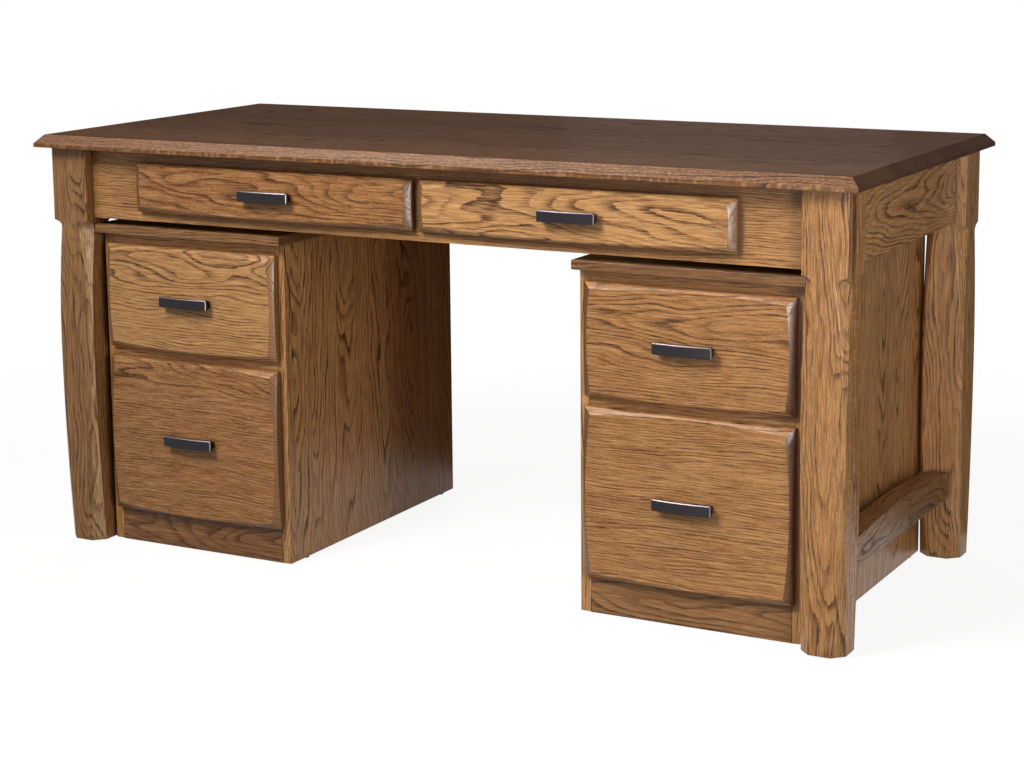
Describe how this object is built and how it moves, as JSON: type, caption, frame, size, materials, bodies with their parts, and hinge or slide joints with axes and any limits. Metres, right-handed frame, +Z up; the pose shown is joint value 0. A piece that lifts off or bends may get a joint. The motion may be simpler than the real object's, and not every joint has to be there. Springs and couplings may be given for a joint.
{
  "type": "pedestal desk",
  "caption": "Stained oak pedestal desk: bevelled top on legs with shaped chamfers, pencil drawers in the front apron, and loose pedestals with an upper and a file drawer under it.",
  "frame": {"origin": "on the floor, under the middle of the desk top", "axes": "+X to the right of someone facing the drawers, +Y to the back, +Z up"},
  "size_m": [1.626, 0.737, 0.787],
  "materials": {
    "stained_oak": "satin lacquer over brown stain",
    "stained_oak_top": "satin lacquer over brown stain",
    "clear_maple": "clear lacquer",
    "dark_bronze": "dark oil-rubbed bronze",
    "zinc_steel": "zinc plated",
    "nylon": "matt"
  },
  "bodies": {
    "desk": {"desk_top": "stained_oak_top", "front_left_leg": "stained_oak", "front_right_leg": "stained_oak", "back_left_leg": "stained_oak", "back_right_leg": "stained_oak", "leg_glides": "nylon", "front_top_rail": "stained_oak", "front_bottom_rail": "stained_oak", "front_stiles": "stained_oak", "back_apron": "stained_oak", "left_apron": "stained_oak", "right_apron": "stained_oak", "left_stretcher": "stained_oak", "right_stretcher": "stained_oak", "corner_blocks": "clear_maple", "top_screws": "zinc_steel", "drawer_hangers": "clear_maple", "pencil_slide_channels": "zinc_steel"},
    "left_pencil_drawer": {"left_pencil_drawer_front": "stained_oak", "left_pencil_drawer_box": "clear_maple", "left_pencil_drawer_pull": "dark_bronze", "left_pencil_drawer_runners": "zinc_steel"},
    "right_pencil_drawer": {"right_pencil_drawer_front": "stained_oak", "right_pencil_drawer_box": "clear_maple", "right_pencil_drawer_pull": "dark_bronze", "right_pencil_drawer_runners": "zinc_steel"},
    "left_pedestal": {"left_pedestal_top": "stained_oak", "left_pedestal_side_panels": "stained_oak", "left_pedestal_face_frame": "stained_oak", "left_pedestal_back_panel": "stained_oak", "left_pedestal_floor_panel": "clear_maple", "left_pedestal_slide_channels": "zinc_steel", "left_pedestal_glides": "nylon"},
    "left_upper_drawer": {"left_upper_drawer_front": "stained_oak", "left_upper_drawer_box": "clear_maple", "left_upper_drawer_pull": "dark_bronze", "left_upper_drawer_runners": "zinc_steel"},
    "left_upper_drawer_slide_middles": {"left_upper_drawer_slide_middles": "zinc_steel"},
    "left_file_drawer": {"left_file_drawer_front": "stained_oak", "left_file_drawer_box": "clear_maple", "left_file_drawer_pull": "dark_bronze", "left_file_drawer_runners": "zinc_steel"},
    "left_file_drawer_slide_middles": {"left_file_drawer_slide_middles": "zinc_steel"},
    "right_pedestal": {"right_pedestal_top": "stained_oak", "right_pedestal_side_panels": "stained_oak", "right_pedestal_face_frame": "stained_oak", "right_pedestal_back_panel": "stained_oak", "right_pedestal_floor_panel": "clear_maple", "right_pedestal_slide_channels": "zinc_steel", "right_pedestal_glides": "nylon"},
    "right_upper_drawer": {"right_upper_drawer_front": "stained_oak", "right_upper_drawer_box": "clear_maple", "right_upper_drawer_pull": "dark_bronze", "right_upper_drawer_runners": "zinc_steel"},
    "right_upper_drawer_slide_middles": {"right_upper_drawer_slide_middles": "zinc_steel"},
    "right_file_drawer": {"right_file_drawer_front": "stained_oak", "right_file_drawer_box": "clear_maple", "right_file_drawer_pull": "dark_bronze", "right_file_drawer_runners": "zinc_steel"},
    "right_file_drawer_slide_middles": {"right_file_drawer_slide_middles": "zinc_steel"}
  },
  "joints": [
    {"name": "left_pencil_drawer_slide", "type": "slide", "parent": "desk", "child": "left_pencil_drawer", "axis": [0, -1, 0], "range_m": [0, 0.33]},
    {"name": "right_pencil_drawer_slide", "type": "slide", "parent": "desk", "child": "right_pencil_drawer", "axis": [0, -1, 0], "range_m": [0, 0.33]},
    {"name": "left_pedestal_draw_out", "type": "slide", "parent": "desk", "child": "left_pedestal", "axis": [0, -1, 0], "range_m": [0, 0.75]},
    {"name": "left_upper_drawer_slide", "type": "slide", "parent": "left_pedestal", "child": "left_upper_drawer", "axis": [0, -1, 0], "range_m": [0, 0.54]},
    {"name": "left_upper_drawer_slide_middles_slide", "type": "slide", "parent": "left_pedestal", "child": "left_upper_drawer_slide_middles", "axis": [0, -1, 0], "range_m": [0, 0.27]},
    {"name": "left_file_drawer_slide", "type": "slide", "parent": "left_pedestal", "child": "left_file_drawer", "axis": [0, -1, 0], "range_m": [0, 0.54]},
    {"name": "left_file_drawer_slide_middles_slide", "type": "slide", "parent": "left_pedestal", "child": "left_file_drawer_slide_middles", "axis": [0, -1, 0], "range_m": [0, 0.27]},
    {"name": "right_pedestal_draw_out", "type": "slide", "parent": "desk", "child": "right_pedestal", "axis": [0, -1, 0], "range_m": [0, 0.75]},
    {"name": "right_upper_drawer_slide", "type": "slide", "parent": "right_pedestal", "child": "right_upper_drawer", "axis": [0, -1, 0], "range_m": [0, 0.54]},
    {"name": "right_upper_drawer_slide_middles_slide", "type": "slide", "parent": "right_pedestal", "child": "right_upper_drawer_slide_middles", "axis": [0, -1, 0], "range_m": [0, 0.27]},
    {"name": "right_file_drawer_slide", "type": "slide", "parent": "right_pedestal", "child": "right_file_drawer", "axis": [0, -1, 0], "range_m": [0, 0.54]},
    {"name": "right_file_drawer_slide_middles_slide", "type": "slide", "parent": "right_pedestal", "child": "right_file_drawer_slide_middles", "axis": [0, -1, 0], "range_m": [0, 0.27]}
  ],
  "couplings": [
    {"joint": "left_upper_drawer_slide_middles_slide", "follows": "left_upper_drawer_slide", "ratio": 0.5},
    {"joint": "left_file_drawer_slide_middles_slide", "follows": "left_file_drawer_slide", "ratio": 0.5},
    {"joint": "right_upper_drawer_slide_middles_slide", "follows": "right_upper_drawer_slide", "ratio": 0.5},
    {"joint": "right_file_drawer_slide_middles_slide", "follows": "right_file_drawer_slide", "ratio": 0.5}
  ]
}
